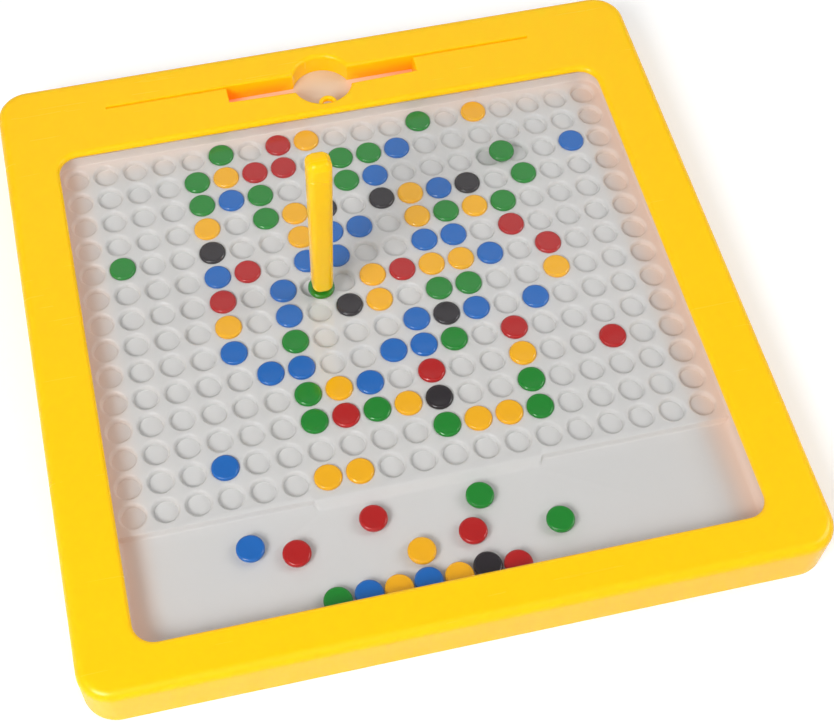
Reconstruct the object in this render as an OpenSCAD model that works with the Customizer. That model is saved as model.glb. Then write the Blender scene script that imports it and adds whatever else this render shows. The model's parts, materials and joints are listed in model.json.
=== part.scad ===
// Magnetic bead drawing board: a framed window over a dimpled board, loose steel-cored
// beads between the two, and a magnetic pen that drags a bead from outside.
// Origin: centre of the underside. +X to the right, +Y towards the pen recess, +Z up.

/* [Case] */
// Side of the square frame
board_w = 237; // [236.5:0.1:240]
// Height of the case from its underside to the top of the frame
board_t = 18.6; // [18.6:0.1:19]
// Plan radius of the frame's outer corners
corner_r = 11; // [9:0.5:13]
// Radius of the rounding along the frame's top edge
edge_r = 3.2; // [2.4:0.1:3.6]
// Thickness of the frame's skirt
skirt_wall = 2.2; // [1.8:0.1:2.4]
// Thickness of the frame's top plate
top_plate = 2; // [1.8:0.1:2.2]

/* [Window] */
// Width of the frame's side bars seen from above
side_bar = 18.7; // [18.5:0.1:19]
// Width of the frame's front bar seen from above
front_bar = 15.3; // [15.1:0.1:15.5]
// Width of the frame's back bar seen from above
back_bar = 34; // [33.9:0.1:34.2]
// Plan radius of the window opening's corners
opening_r = 7; // [5:0.5:9]
// Thickness of the clear window
window_t = 1.5; // [1.4:0.1:1.5]

/* [Bead board] */
// Distance between neighbouring dimples
pitch = 10.5; // [10.45:0.01:10.55]
// Depth of a dimple below the deck
dimple_depth = 2; // [2:0.05:2.1]
// Distance of the grid's centre behind the frame's centre
grid_shift = 10.7; // [10.5:0.1:10.9]

/* [Beads] */
// Diameter of a bead
bead_d = 9.2; // [8.8:0.1:9.2]
// Thickness of a bead
bead_t = 2.9; // [2.6:0.1:2.9]

/* [Pen] */
// Length of the pen
pen_len = 68.7; // [60:0.5:75]
// Width of the pen across its flats at the top
pen_top_w = 7.9; // [7.6:0.1:8.2]
// Width of the pen across its flats near the tip
pen_tip_w = 7; // [6.6:0.1:7.2]

/* [Hidden] */
$fn = 64;
snug = 0.1;           // gap between pieces that rest on each other
fit_gap = 0.25;       // gap round a piece that drops into a pocket
cut = 1;              // overshoot of a cutting shape

half = board_w / 2;
plate_z = board_t - top_plate;
window_z = plate_z - window_t;

// window opening
open_x = half - side_bar;
open_front = -half + front_bar;
open_back = half - back_bar;

// bead board, from its underside up
board_wall = 1.3;
tray_over = 1.6;      // how far the chamber runs on under the frame's bars
tray_z = 8.6;
deck_z = 10.8;
sheet_t = 1.5;
sheet_z = tray_z - sheet_t;
chamber_x = open_x + tray_over;
chamber_front = open_front - tray_over;
chamber_back = open_back + 0.9;
deck_front = -64.2;
ramp_run = 3.9;       // how far the ramp reaches forward from the deck
ramp_x = 38;          // half its width at the deck
ramp_taper = 2;       // how much narrower each side gets towards the foot
chamber_r = opening_r;
cove_r = 3;
dimple_floor_r = 3.9;
dimple_top_r = 4.98;

// pen recess, finger hole, eyelet and card slits
recess_x = 35.2;
recess_y0 = 96.5;
recess_y1 = 104.1;
finger_y = 100;
finger_r = 11;
recess_wall = 1.3;
recess_z = deck_z + snug;
tongue_x = 42;
tongue_back = 114.3;
eyelet_r = 3.4;
eyelet_hole_r = 2;
eyelet_t = 2.2;
slit_w = 0.9;
slit_x = 79.5;
slit_depth = 6;
slit_rib = 3.6;

// screws and their bosses
screw_r = 1.4;
screw_len = 10;
head_r = 2.6;
head_t = 1.7;
head_sink = 0.4;
pad_r = 4.2;
pad_t = 4.2;
boss_r = 3.3;
cover_t = 2;
screw_side_x = half - 8;
screw_back_y = 106;
screw_back_x = 60;
SCREWS = [
    for (side = [-1, 1])
        each [[side * screw_side_x, -100], [side * screw_side_x, 0],
              [side * screw_side_x, 98], [side * screw_back_x, screw_back_y]]
];

// beads
bead_r = bead_d / 2;
bead_foot_r = 3.5;
bead_chamfer = 1.4;
bead_round = 0.7;
core_r = 2.5;
core_t = 1.5;
bead_seat_z = deck_z - dimple_depth + snug;
bead_tray_z = tray_z + snug;
bead_deck_z = deck_z + snug;
bead_drag_z = window_z - bead_t - snug;

// The picture in the board, back row first. Each letter is the colour of the bead in that
// dimple: G green, B blue, R red, Y yellow, K black.
CHART = [
    ".....G.RY...G.Y....",
    "....GYRR.GGB.......",
    "....GBG..GB......B.",
    "....Y.GYK.KYBK.G...",
    ".G..K..YBB.YGYG....",
    "....BR.BB..BB.R....",
    "....R.B..YRYYB.R...",
    "....Y.B.KY.GG..Y...",
    "....B.G...BKB.B....",
    ".....BB..BBG.R.....",
    "......GYB.R..Y..R..",
    "......GRGYK..G.....",
    "...B......GYYG.....",
    "......YY..........."
];
rows = len(CHART);
columns = len(CHART[0]);

GREEN = [0.18, 0.55, 0.25];
BLUE = [0.16, 0.40, 0.72];
RED = [0.72, 0.13, 0.16];
YELLOW = [0.98, 0.66, 0.15];
BLACK = [0.17, 0.16, 0.17];
FRAME_YELLOW = [1, 0.80, 0.10];
STEEL = [0.62, 0.63, 0.65];

// Tray beads, in pitches from the middle of the grid: how far right, how far back.
TRAY = [
    [1.36, -8.08], [3.52, -9.38], [-5.75, -8.31], [-1.96, -8.13], [0.86, -9.18],
    [-4.43, -8.76], [-0.79, -9.48], [-3.56, -10.50], [-2.62, -10.48], [-1.72, -10.50],
    [-0.82, -10.46], [0.10, -10.50], [1.00, -10.36], [1.90, -10.50]
];
LOOSE = [5.46, 4.45];    // loose bead on the deck
DRAGGED = [-1.79, 0.18]; // bead that the pen holds against the window
PEN = [-1.79, 0.04];     // axis of the pen

// Places a child at a point given in pitches from the middle of the grid.
module on_grid(place, z) {
    translate([place[0] * pitch, place[1] * pitch + grid_shift, z]) children();
}

// Rectangle with rounded corners between two opposite corners.
module round_rect(x0, y0, x1, y1, r) {
    translate([x0 + r, y0]) square([x1 - x0 - 2 * r, y1 - y0]);
    translate([x0, y0 + r]) square([x1 - x0, y1 - y0 - 2 * r]);
    for (x = [x0 + r, x1 - r], y = [y0 + r, y1 - r])
        translate([x, y]) circle(r);
}

// Section through a rounded top edge, from the corner's centre out to the face.
module edge_section(h, r, e) {
    square([r, h - e]);
    square([r - e, h]);
    translate([r - e, h - e]) circle(e);
}

// Slab between two opposite plan corners, with round corners and a rounded top edge.
module soft_slab(x0, y0, x1, y1, h, r, e) {
    w = x1 - x0;
    d = y1 - y0;
    translate([x0 + r, y0 + r, 0]) cube([w - 2 * r, d - 2 * r, h]);
    translate([(x0 + x1) / 2, (y0 + y1) / 2, 0])
        for (a = [0:3]) {
            along = a % 2 == 0 ? d : w;
            across = a % 2 == 0 ? w : d;
            rotate(a * 90) {
                translate([across / 2 - r, along / 2 - r, 0])
                    rotate_extrude(angle = 90) edge_section(h, r, e);
                translate([across / 2 - r, along / 2 - r, 0])
                    rotate([90, 0, 0])
                        linear_extrude(along - 2 * r) edge_section(h, r, e);
            }
        }
}

// Outline of the pen recess with its finger hole, grown by a margin.
module recess_outline(margin) {
    translate([-recess_x - margin, recess_y0 - margin])
        square([2 * (recess_x + margin), recess_y1 - recess_y0 + 2 * margin]);
    translate([0, finger_y]) circle(finger_r + margin);
}

// Ring that carries the tether, lying across the front of the finger hole.
module eyelet() {
    translate([0, finger_y - finger_r, plate_z - 0.6])
        linear_extrude(eyelet_t)
            difference() {
                circle(eyelet_r);
                circle(eyelet_hole_r);
                translate([-eyelet_r - cut, -eyelet_r - cut - 0.5])
                    square([2 * (eyelet_r + cut), eyelet_r + cut]);
            }
}

module top_frame() {
    pocket_x = chamber_x + board_wall + 1;
    pocket_front = chamber_front - board_wall - 1;
    pocket_back = chamber_back + board_wall + 0.4;
    rib_t = 1.2;
    rib_h = 4;
    color(FRAME_YELLOW) {
        difference() {
            union() {
                difference() {
                    soft_slab(-half, -half, half, half, board_t, corner_r, edge_r);
                    translate([0, 0, -cut])
                        linear_extrude(plate_z + cut)
                            round_rect(-half + skirt_wall, -half + skirt_wall,
                                       half - skirt_wall, half - skirt_wall,
                                       corner_r - skirt_wall);
                }
                // walls of the pen recess and the finger hole
                translate([0, 0, recess_z])
                    linear_extrude(plate_z - recess_z + 0.5) recess_outline(recess_wall);
                // ribs that stiffen the card slits
                for (side = [-1, 1])
                    translate([side > 0 ? recess_x : -slit_x - 1,
                               recess_y1 - slit_w / 2 - slit_rib / 2,
                               board_t - slit_depth - 1])
                        cube([slit_x + 1 - recess_x, slit_rib, slit_depth]);
                // ribs that locate the window at the sides and the front
                for (side = [-1, 1])
                    translate([side > 0 ? pocket_x : -pocket_x - rib_t,
                               pocket_front, plate_z - rib_h])
                        cube([rib_t, pocket_back - pocket_front, rib_h + 0.5]);
                translate([-pocket_x - rib_t, pocket_front - rib_t, plate_z - rib_h])
                    cube([2 * (pocket_x + rib_t), rib_t, rib_h + 0.5]);
                // screw bosses
                for (p = SCREWS)
                    translate([p[0], p[1], pad_t + snug])
                        cylinder(r = boss_r, h = plate_z - pad_t - snug + 0.5);
            }
            // window opening
            translate([0, 0, plate_z - cut])
                linear_extrude(top_plate + 2 * cut)
                    round_rect(-open_x, open_front, open_x, open_back, opening_r);
            // pen recess and finger hole
            translate([0, 0, recess_z - cut])
                linear_extrude(board_t - recess_z + 2 * cut) recess_outline(0);
            // card slits
            for (side = [-1, 1])
                translate([side > 0 ? recess_x - cut : -slit_x, recess_y1 - slit_w,
                           board_t - slit_depth])
                    cube([slit_x - recess_x + cut, slit_w, slit_depth + cut]);
            // pilot holes
            for (p = SCREWS)
                translate([p[0], p[1], pad_t - cut])
                    cylinder(r = screw_r + 0.05, h = screw_len + cut);
        }
        eyelet();
    }
}

module window() {
    reach = 0.7;
    x = chamber_x + board_wall + reach;
    y0 = chamber_front - board_wall - reach;
    y1 = chamber_back + board_wall;
    color([0.85, 0.92, 0.95, 0.3])
        translate([0, 0, window_z])
            linear_extrude(window_t)
                round_rect(-x, y0, x, y1, 3);
}

// Cutter of one dimple: a shallow cone with a flat floor.
module dimple() {
    lead = 0.2;
    slope = (dimple_top_r - dimple_floor_r) / dimple_depth;
    translate([0, 0, deck_z - dimple_depth])
        cylinder(r1 = dimple_floor_r, r2 = dimple_top_r + slope * lead,
                 h = dimple_depth + lead, $fn = 48);
}

// Section of the cove between the tray's floor and a wall, from a corner's centre outwards.
module cove_section() {
    bury = 0.3;
    difference() {
        translate([chamber_r - cove_r + 1, -0.5]) square([cove_r - 0.5, cove_r]);
        translate([chamber_r - cove_r + bury, cove_r - bury]) circle(cove_r);
    }
}

// Cove round the tray's floor: two sides, the front and the two front corners.
module tray_cove() {
    x = chamber_x - chamber_r;
    y = chamber_front + chamber_r;
    run = deck_front + 0.5 - y;
    translate([0, 0, tray_z]) {
        translate([x, y + run, 0]) rotate([90, 0, 0]) linear_extrude(run) cove_section();
        translate([-x, y, 0]) rotate([90, 0, 180]) linear_extrude(run) cove_section();
        translate([x, y, 0]) rotate([90, 0, -90]) linear_extrude(2 * x) cove_section();
        translate([x, y, 0]) rotate(-90) rotate_extrude(angle = 90) cove_section();
        translate([-x, y, 0]) rotate(180) rotate_extrude(angle = 90) cove_section();
    }
}

// Ramp from the tray up to the middle of the deck's front edge, narrower at its foot.
module tray_ramp() {
    foot = deck_front - ramp_run;
    intersection() {
        translate([-ramp_x, 0, 0])
            rotate([90, 0, 90])
                linear_extrude(2 * ramp_x)
                    polygon([[foot, 0], [deck_front + cut, 0], [deck_front + cut, deck_z],
                             [deck_front, deck_z], [foot, tray_z]]);
        linear_extrude(deck_z)
            polygon([[-ramp_x, deck_front + cut], [-ramp_x, deck_front],
                     [ramp_taper - ramp_x, foot], [ramp_x - ramp_taper, foot],
                     [ramp_x, deck_front], [ramp_x, deck_front + cut]]);
    }
}

module bead_board() {
    x = chamber_x + board_wall;
    y0 = chamber_front - board_wall;
    y1 = chamber_back + board_wall;
    color([0.93, 0.93, 0.91]) {
        difference() {
            union() {
                translate([0, 0, sheet_z])
                    linear_extrude(window_z - sheet_z)
                        round_rect(-x, y0, x, y1, chamber_r + board_wall);
                // tongue that floors the pen recess
                translate([-tongue_x, y1 - cut, deck_z - sheet_t])
                    cube([2 * tongue_x, tongue_back - y1 + cut, sheet_t]);
            }
            // space over the tray, then over the rest of the deck
            difference() {
                translate([0, 0, tray_z])
                    linear_extrude(window_z - tray_z + cut)
                        round_rect(-chamber_x, chamber_front, chamber_x, chamber_back,
                                   chamber_r);
                translate([-board_w, deck_front, 0]) cube([2 * board_w, board_w, deck_z]);
                tray_ramp();
            }
            for (c = [0:columns - 1], r = [0:rows - 1])
                on_grid([c - (columns - 1) / 2, (rows - 1) / 2 - r], 0) dimple();
        }
        tray_cove();
    }
}

module back_cover() {
    gap = skirt_wall + fit_gap;
    rib_t = 1.6;
    rib_top = sheet_z - snug;
    rib_x = 90;
    rib_y = [-95, -50, 0, 50, 80];
    color(FRAME_YELLOW)
        difference() {
            union() {
                linear_extrude(cover_t)
                    round_rect(-half + gap, -half + gap, half - gap, half - gap,
                               corner_r - gap);
                for (y = rib_y)
                    translate([-rib_x, y - rib_t / 2, 0])
                        cube([2 * rib_x, rib_t, rib_top]);
                for (x = [-rib_x, -rib_x / 2, 0, rib_x / 2, rib_x])
                    translate([x - rib_t / 2, rib_y[0], 0])
                        cube([rib_t, rib_y[4] - rib_y[0], rib_top]);
                for (p = SCREWS)
                    translate([p[0], p[1], 0]) cylinder(r = pad_r, h = pad_t);
            }
            for (p = SCREWS)
                translate([p[0], p[1], -cut]) {
                    cylinder(r = head_r + 0.3, h = cut + head_sink + head_t + snug);
                    cylinder(r = screw_r + 0.3, h = pad_t + 2 * cut);
                }
        }
}

// Pan-head self-tapping screw, head down, with a cross recess.
module screw() {
    slot_w = 0.8;
    slot_t = 0.9;
    difference() {
        union() {
            cylinder(r = head_r, h = head_t);
            cylinder(r = screw_r, h = screw_len);
        }
        for (a = [0, 90])
            rotate(a)
                translate([-head_r * 0.6, -slot_w / 2, -cut])
                    cube([head_r * 1.2, slot_w, slot_t + cut]);
    }
}

module case_screws() {
    color(STEEL)
        for (p = SCREWS)
            translate([p[0], p[1], head_sink]) screw();
}

// Square section of the pen with round corners.
module pen_section(w) {
    r = w * 0.3;
    linear_extrude(0.01) round_rect(-w / 2, -w / 2, w / 2, w / 2, r, $fn = 24);
}

pen_z = plate_z + snug;
pen_cap_len = 7;
pen_bore_r = 2.6;
magnet_r = 2.5;
magnet_t = 6;
magnet_z = 1.2;

module pen_barrel() {
    seam = pen_len - pen_cap_len;
    tip_r = pen_tip_w * 0.36;
    color(FRAME_YELLOW)
        on_grid(PEN, pen_z)
            difference() {
                hull() {
                    cylinder(r = tip_r * 0.6, h = 0.01, $fn = 24);
                    translate([0, 0, 1]) cylinder(r = tip_r, h = 0.01, $fn = 24);
                    translate([0, 0, 3]) pen_section(pen_tip_w);
                    translate([0, 0, seam - 0.01]) pen_section(pen_top_w);
                }
                translate([0, 0, magnet_z]) cylinder(r = pen_bore_r, h = pen_len);
            }
}

module pen_cap() {
    seam = pen_len - pen_cap_len + snug;
    plug = 5;
    color(FRAME_YELLOW)
        on_grid(PEN, pen_z) {
            hull() {
                translate([0, 0, seam]) pen_section(pen_top_w);
                translate([0, 0, pen_len - 2.2]) pen_section(pen_top_w);
                translate([0, 0, pen_len - 0.01]) pen_section(pen_top_w * 0.66);
            }
            translate([0, 0, seam - plug]) cylinder(r = pen_bore_r - 0.05, h = plug + 1);
        }
}

module pen_magnet() {
    color(STEEL)
        on_grid(PEN, pen_z + magnet_z + snug) cylinder(r = magnet_r, h = magnet_t);
}

// Plastic shell of a bead, standing on z = 0, with a pocket for its core underneath.
module bead_shell() {
    difference() {
        rotate_extrude() {
            polygon([[0, 0], [bead_foot_r, 0], [bead_r, bead_chamfer],
                     [bead_r, bead_t - bead_round], [bead_r - bead_round, bead_t - bead_round],
                     [bead_r - bead_round, bead_t], [0, bead_t]]);
            intersection() {
                translate([bead_r - bead_round, bead_t - bead_round])
                    circle(bead_round, $fn = 32);
                translate([bead_r - bead_round, bead_t - bead_round])
                    square(bead_round);
            }
        }
        translate([0, 0, -cut]) cylinder(r = core_r + 0.05, h = core_t + snug + cut);
    }
}

module bead_core() {
    translate([0, 0, 0.05]) cylinder(r = core_r, h = core_t);
}

// Copies a child into each dimple that the chart fills with one colour.
module in_dimples(letter) {
    for (r = [0:rows - 1], c = [0:columns - 1])
        if (CHART[r][c] == letter)
            on_grid([c - (columns - 1) / 2, (rows - 1) / 2 - r], bead_seat_z) children();
}

module green_beads() { color(GREEN) in_dimples("G") bead_shell(); }
module blue_beads() { color(BLUE) in_dimples("B") bead_shell(); }
module red_beads() { color(RED) in_dimples("R") bead_shell(); }
module yellow_beads() { color(YELLOW) in_dimples("Y") bead_shell(); }
module black_beads() { color(BLACK) in_dimples("K") bead_shell(); }
module green_cores() { color(STEEL) in_dimples("G") bead_core(); }
module blue_cores() { color(STEEL) in_dimples("B") bead_core(); }
module red_cores() { color(STEEL) in_dimples("R") bead_core(); }
module yellow_cores() { color(STEEL) in_dimples("Y") bead_core(); }
module black_cores() { color(STEEL) in_dimples("K") bead_core(); }
module dragged_bead() { color(GREEN) on_grid(DRAGGED, bead_drag_z) bead_shell(); }
module dragged_core() { color(STEEL) on_grid(DRAGGED, bead_drag_z) bead_core(); }
module loose_bead() { color(GREEN) on_grid(LOOSE, bead_deck_z) bead_shell(); }
module loose_core() { color(STEEL) on_grid(LOOSE, bead_deck_z) bead_core(); }
module tray_bead(n, paint) { color(paint) on_grid(TRAY[n], bead_tray_z) bead_shell(); }
module tray_core(n) { color(STEEL) on_grid(TRAY[n], bead_tray_z) bead_core(); }

top_frame();
window();
bead_board();
back_cover();
case_screws();
pen_barrel();
pen_cap();
pen_magnet();
green_beads();
blue_beads();
red_beads();
yellow_beads();
black_beads();
green_cores();
blue_cores();
red_cores();
yellow_cores();
black_cores();
dragged_bead();
dragged_core();
loose_bead();
loose_core();
tray_bead(0, GREEN);  // tray_green_bead_1
tray_bead(1, GREEN);  // tray_green_bead_2
tray_bead(2, BLUE);  // tray_blue_bead_1
tray_bead(3, RED);  // tray_red_bead_1
tray_bead(4, RED);  // tray_red_bead_2
tray_bead(5, RED);  // tray_red_bead_3
tray_bead(6, YELLOW);  // tray_yellow_bead_1
tray_bead(7, GREEN);  // tray_green_bead_3
tray_bead(8, BLUE);  // tray_blue_bead_2
tray_bead(9, YELLOW);  // tray_yellow_bead_2
tray_bead(10, BLUE);  // tray_blue_bead_3
tray_bead(11, YELLOW);  // tray_yellow_bead_3
tray_bead(12, BLACK);  // tray_black_bead_1
tray_bead(13, RED);  // tray_red_bead_4
tray_core(0);  // tray_green_core_1
tray_core(1);  // tray_green_core_2
tray_core(2);  // tray_blue_core_1
tray_core(3);  // tray_red_core_1
tray_core(4);  // tray_red_core_2
tray_core(5);  // tray_red_core_3
tray_core(6);  // tray_yellow_core_1
tray_core(7);  // tray_green_core_3
tray_core(8);  // tray_blue_core_2
tray_core(9);  // tray_yellow_core_2
tray_core(10);  // tray_blue_core_3
tray_core(11);  // tray_yellow_core_3
tray_core(12);  // tray_black_core_1
tray_core(13);  // tray_red_core_4
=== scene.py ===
"""Looks of a magnetic bead drawing board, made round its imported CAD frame.

The moulded shell, the dimpled panel, the beads and the pen are worked out as surfaces. The
window, the back cover and the steel parts keep their CAD meshes and get materials.
"""

import json
import math

import bmesh
import bpy
import numpy as np
from bpy.props import FloatProperty, FloatVectorProperty, IntProperty, PointerProperty
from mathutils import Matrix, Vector
from mathutils.geometry import delaunay_2d_cdt


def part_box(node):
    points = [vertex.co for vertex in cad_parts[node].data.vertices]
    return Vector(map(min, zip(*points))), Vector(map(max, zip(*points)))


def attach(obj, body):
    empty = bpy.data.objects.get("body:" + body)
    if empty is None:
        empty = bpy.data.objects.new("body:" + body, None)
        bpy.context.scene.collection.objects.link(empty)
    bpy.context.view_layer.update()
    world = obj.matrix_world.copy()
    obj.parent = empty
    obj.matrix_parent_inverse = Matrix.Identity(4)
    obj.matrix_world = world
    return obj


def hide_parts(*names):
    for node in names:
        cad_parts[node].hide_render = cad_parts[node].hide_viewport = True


bl_info = {
    "name": "Magnetic bead board",
    "version": (1, 0, 0),
    "blender": (4, 5, 0),
    "location": "3D View > Sidebar > Bead Board",
    "description": "Builds the shell, panel, beads and pen of a magnetic bead drawing board",
    "category": "Object",
}

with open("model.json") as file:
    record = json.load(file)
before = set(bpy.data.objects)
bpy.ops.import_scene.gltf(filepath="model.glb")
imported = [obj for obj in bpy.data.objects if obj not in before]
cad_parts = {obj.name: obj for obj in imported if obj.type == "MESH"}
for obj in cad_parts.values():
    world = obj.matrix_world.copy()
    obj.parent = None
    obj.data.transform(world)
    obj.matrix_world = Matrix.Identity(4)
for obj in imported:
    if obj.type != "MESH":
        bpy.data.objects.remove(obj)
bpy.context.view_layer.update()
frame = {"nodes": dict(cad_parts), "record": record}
MM = 0.001
SHELL_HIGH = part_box("top_frame")[1]
PANEL_LOW, PANEL_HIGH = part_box("bead_board")
BARREL_LOW, BARREL_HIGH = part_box("pen_barrel")
CAP_LOW, CAP_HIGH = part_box("pen_cap")
PANEL_FRONT = -PANEL_LOW.y
WINDOW_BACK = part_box("window")[1].y
WELD = 2e-6            # metres between points that are merged
SCREW_APART = 6 * MM   # more than a screw's width, less than the gap between two screws
INNER_LIGHT = 0.4      # strength of the light that stands in for light inside the plastic
SEAM = 0.15 * MM       # width of the bevels where the pen's cap meets the barrel
EDGE_BAND = 0.2 * MM   # width of the level band inside the shell's rounded top edge
COLOURS = ("green", "blue", "red", "yellow", "black")


# ---------------------------------------------------------------- settings


def length(mm, label, text):
    """A length property whose default is given in millimetres."""
    return FloatProperty(name=label, description=text, default=mm * MM, min=0.0,
                         unit="LENGTH", subtype="DISTANCE", precision=5)


def paint(rgb, label, text):
    """A colour property with a linear default."""
    return FloatVectorProperty(name=label, description=text, default=(*rgb, 1.0), size=4,
                               min=0.0, max=1.0, subtype="COLOR")


class BOARD_PG_shell(bpy.types.PropertyGroup):
    """Sizes of the yellow shell."""
    side_bar: length(18.7, "Side bars", "Width of the side bars from above")
    front_bar: length(15.3, "Front bar", "Width of the front bar from above")
    back_bar: length(34.0, "Back bar", "Width of the back bar from above")
    corner: length(11.0, "Corner radius", "Plan radius of the outer corners")
    edge: length(3.2, "Edge radius", "Radius of the rounding along the top edge")
    opening_corner: length(7.0, "Opening corner", "Plan radius of the opening's corners")
    lip: length(1.5, "Lip radius", "Radius of the rounding round the window opening")
    recess_lip: length(0.4, "Recess lip", "Radius of the rounding round the pen recess")
    wall: length(2.2, "Skirt", "Thickness of the skirt")
    plate: length(2.0, "Top plate", "Thickness of the top plate")
    inner_wall: length(1.3, "Inner wall", "Thickness of the walls round the pen recess")
    recess_half: length(35.2, "Recess half width", "From the middle to a recess end")
    recess_front: length(96.5, "Recess front", "From the middle to the recess's front wall")
    recess_back: length(104.1, "Recess back", "From the middle to the recess's back wall")
    recess_floor: length(10.9, "Recess floor", "Height of the lower edge of the recess walls")
    finger_y: length(100.0, "Finger hole place", "From the middle to the finger hole's axis")
    finger: length(11.0, "Finger hole radius", "Radius of the finger hole")
    finger_lip: length(1.5, "Finger hole lip", "Radius of the rounding round the finger hole")
    slit_end: length(79.5, "Slit end", "From the middle to the far end of a card slit")
    slit: length(0.9, "Slit width", "Width of a card slit")
    slit_depth: length(6.0, "Slit depth", "Depth of a card slit")
    eyelet: length(2.7, "Eyelet radius", "Radius of the tether eyelet's centre line")
    eyelet_wide: length(1.4, "Eyelet width", "Width of the tether eyelet's band")
    eyelet_tall: length(2.2, "Eyelet height", "Height of the tether eyelet's band")
    boss: length(3.3, "Boss radius", "Radius of the screw bosses")
    pilot: length(1.45, "Pilot radius", "Radius of the pilot holes in the bosses")
    boss_foot: length(4.3, "Boss foot", "Height of the lower end of the bosses")
    rib: length(1.2, "Rib", "Thickness of the ribs that hold the window in place")
    rib_tall: length(4.0, "Rib height", "How far those ribs reach down from the top plate")


class BOARD_PG_panel(bpy.types.PropertyGroup):
    """Sizes of the dimpled panel."""
    pitch: length(10.5, "Pitch", "Distance between neighbouring dimples")
    columns: IntProperty(name="Columns", description="Dimples across", default=19, min=1)
    rows: IntProperty(name="Rows", description="Dimples from front to back", default=14, min=1)
    shift: length(10.7, "Grid shift", "Distance of the grid's centre behind the middle")
    rim: length(4.98, "Rim radius", "Radius of a dimple at the deck")
    floor: length(3.9, "Floor radius", "Radius of a dimple's flat floor")
    depth: length(2.0, "Dimple depth", "Depth of a dimple below the deck")
    deck: length(10.8, "Deck height", "Height of the deck above the underside")
    tray: length(8.6, "Tray height", "Height of the tray's floor above the underside")
    wall: length(1.3, "Rim wall", "Thickness of the wall round the panel")
    corner: length(7.0, "Chamber corner", "Plan radius of the chamber's corners")
    cove: length(2.4, "Cove radius", "Radius of the cove round the tray's floor")
    deck_front: length(64.2, "Deck front", "Distance of the deck's front edge from the middle")
    fall: length(0.9, "Edge rounding", "Length over which the deck's front edge falls")
    ramp_run: length(3.9, "Ramp", "How far the ramp reaches forward from the deck")
    ramp_half: length(38.0, "Ramp half width", "Half the width of the ramp at the deck")
    ramp_taper: length(2.0, "Ramp taper", "How much narrower each side is at the foot")
    tongue_half: length(42.0, "Tongue half width", "Half the width of the recess's floor")
    tongue: length(1.5, "Tongue", "Thickness of the recess's floor")
    # where the painted shade and painted glow of the border start and are complete
    glow_start: length(88.0, "Border start", "Distance from the middle where the border starts")
    glow_full: length(101.0, "Border end", "Distance from the middle where it is complete")


class BOARD_PG_bead(bpy.types.PropertyGroup):
    """Sizes of a bead."""
    radius: length(4.6, "Radius", "Radius of a bead")
    foot: length(3.5, "Foot radius", "Radius of a bead's flat foot")
    taper: length(1.4, "Taper height", "Height at which a bead reaches its full radius")
    rounding: length(0.85, "Rim rounding", "Radius of the rounding round a bead's top")
    pocket: length(2.55, "Pocket radius", "Radius of the pocket for the steel core")
    pocket_deep: length(1.6, "Pocket depth", "Depth of the pocket for the steel core")


class BOARD_PG_pen(bpy.types.PropertyGroup):
    """Sizes of the pen."""
    tip_wide: length(7.0, "Tip width", "Width across the flats near the tip")
    top_wide: length(7.9, "Top width", "Width across the flats at the cap")
    bore: length(2.6, "Bore radius", "Radius of the bore that holds the magnet")
    bore_floor: length(1.2, "Tip wall", "Thickness of the tip below the magnet")
    bevel: length(1.9, "Cap bevel", "Height of the bevel round the cap's top")


class BOARD_PG_finish(bpy.types.PropertyGroup):
    """Colours of the plastics, with the painted shade and painted glow colours of the panel's
    border, its tongue and the ends of the recess.
    """
    shell: paint((0.98, 0.595, 0.002), "Shell", "Colour of the shell and the pen")
    panel: paint((0.68, 0.675, 0.665), "Panel", "Colour of the dimpled panel")
    # painted shade and warm bounce light on the panel's border, mixed into its colour
    border: paint((0.71, 0.605, 0.52), "Border", "Colour of the panel's border")
    # painted shade and yellow bounce light on the tongue in the pen recess, mixed into its colour
    tongue: paint((0.62, 0.54, 0.43), "Tongue", "Colour of the panel's tongue in the recess")
    # painted glow given off by the border and the tongue
    border_glow: paint((0.30, 0.12, 0.07), "Border glow", "Light that reaches the border")
    # painted glow given off all over the shell in place of light inside the plastic
    shell_glow: paint((0.25, 0.075, 0.001), "Shell glow", "Light inside the shell's wall")
    # painted shade: the shell's colour darkened to orange in the shaded ends of the recess
    deep_painted_shade: paint((0.95, 0.34, 0.001), "Deep", "Colour of the shell in the ends of the recess")
    # painted orange glow in the ends of the recess, on the shell and the panel
    deep_glow: paint((1.0, 0.13, 0.002), "Deep glow", "Light in the ends of the pen's recess")
    green: paint((0.003, 0.245, 0.018), "Green", "Colour of the green beads")
    blue: paint((0.004, 0.140, 0.525), "Blue", "Colour of the blue beads")
    red: paint((0.490, 0.004, 0.004), "Red", "Colour of the red beads")
    yellow: paint((0.980, 0.480, 0.001), "Yellow", "Colour of the yellow beads")
    black: paint((0.018, 0.013, 0.017), "Black", "Colour of the black beads")


class BOARD_PG_stage(bpy.types.PropertyGroup):
    """Floor, lights and world."""
    floor_half: length(1500.0, "Floor", "Half the side of the floor")
    key: FloatProperty(name="Key", description="Power of the key lamp", default=9.0,
                       min=0.0, unit="POWER")
    fill: FloatProperty(name="Fill", description="Power of the fill lamp", default=3.6,
                        min=0.0, unit="POWER")
    front: FloatProperty(name="Front", description="Power of the wide lamp in front",
                         default=2.8, min=0.0, unit="POWER")
    back: FloatProperty(name="Back", description="Power of the lamp behind", default=0.8,
                        min=0.0, unit="POWER")
    sky: FloatProperty(name="Sky", description="Strength of the world at the horizon",
                       default=0.45, min=0.0)
    zenith: FloatProperty(name="Zenith", description="Strength of the world overhead",
                          default=0.24, min=0.0)


# ---------------------------------------------------------------- shapes


def arc(centre, radius, start, end, steps):
    """Points on a circle between two angles in degrees: the centre plus the radius times
    the cosine and the sine of evenly spaced angles, both ends kept."""
    angle = np.radians(np.linspace(start, end, steps + 1))
    return np.stack([centre[0] + radius * np.cos(angle),
                     centre[1] + radius * np.sin(angle)], -1)


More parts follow.
